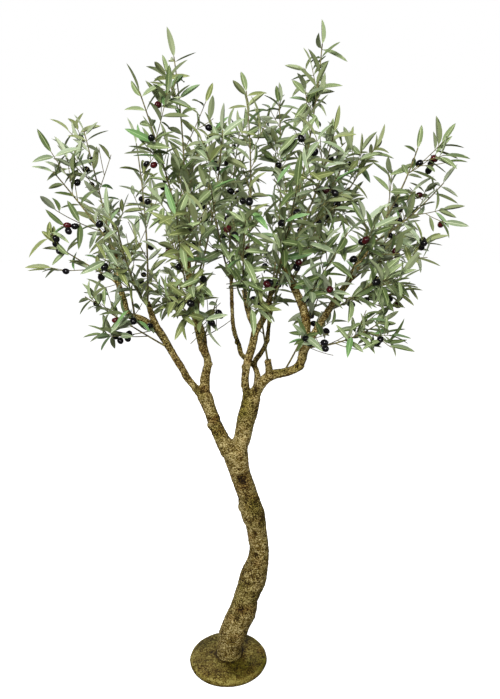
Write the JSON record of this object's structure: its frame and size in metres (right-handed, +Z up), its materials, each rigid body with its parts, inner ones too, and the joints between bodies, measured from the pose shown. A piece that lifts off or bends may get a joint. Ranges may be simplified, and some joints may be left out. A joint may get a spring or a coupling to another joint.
{
  "type": "artificial olive tree",
  "caption": "Person-high artificial olive tree: swaying forked trunk, bent limbs, narrow leaves and dark olives, on a low domed round disc.",
  "frame": {"origin": "centre of the disc base's flat underside, on the floor", "axes": "+Z up along the tree's height, -Y towards the front, +X to the right seen from the front"},
  "size_m": [1.2165, 0.8131, 1.8144],
  "materials": {
    "base_coating": "matte textured coating over a weighted disc",
    "bark": "matte knobbly bark coating",
    "leaf": "satin printed cloth leaves"
  },
  "bodies": {
    "root": {"base_disc": "base_coating", "trunk": "bark", "left_bough": "bark", "right_bough": "bark", "left_outer_limb": "bark", "left_outer_limb_end": "bark", "left_side_limb": "bark", "left_short_limb": "bark", "left_inner_limb": "bark", "right_limb": "bark", "right_limb_end": "bark", "right_outer_limb": "bark", "inner_limb": "bark", "inner_limb_left_end": "bark", "inner_limb_right_end": "bark", "middle_limb": "bark", "back_limb": "bark", "sawn_limb": "bark", "foliage_left_shoulder": "leaf", "foliage_left_crest": "leaf", "foliage_far_left": "leaf", "foliage_low_left": "leaf", "foliage_low_left_hanging": "leaf", "foliage_left_heart": "leaf", "foliage_top_left": "leaf", "foliage_top_left_front": "leaf", "foliage_top_left_back": "leaf", "foliage_front_crest": "leaf", "foliage_top_middle": "leaf", "foliage_top_right": "leaf", "foliage_top_right_back": "leaf", "foliage_right_crest": "leaf", "foliage_right_shoulder": "leaf", "foliage_right_high": "leaf", "foliage_far_right": "leaf", "foliage_right_side": "leaf", "foliage_low_right": "leaf", "foliage_low_right_front": "leaf", "foliage_front_star": "leaf", "foliage_low_right_back": "leaf", "foliage_front_low_middle": "leaf", "foliage_front_middle": "leaf", "foliage_front_right_crest": "leaf", "foliage_front_left": "leaf", "foliage_front_left_middle": "leaf", "foliage_front_high_middle": "leaf", "foliage_front_right": "leaf", "foliage_front_low_left": "leaf", "foliage_front_heart": "leaf", "foliage_front_far_right": "leaf", "foliage_front_right_high": "leaf", "foliage_back_left": "leaf", "foliage_back_left_crest": "leaf", "foliage_back_middle": "leaf", "foliage_back_right": "leaf", "foliage_back_far_right": "leaf", "foliage_back_low_left": "leaf", "foliage_back_low_middle": "leaf"}
  },
  "joints": []
}
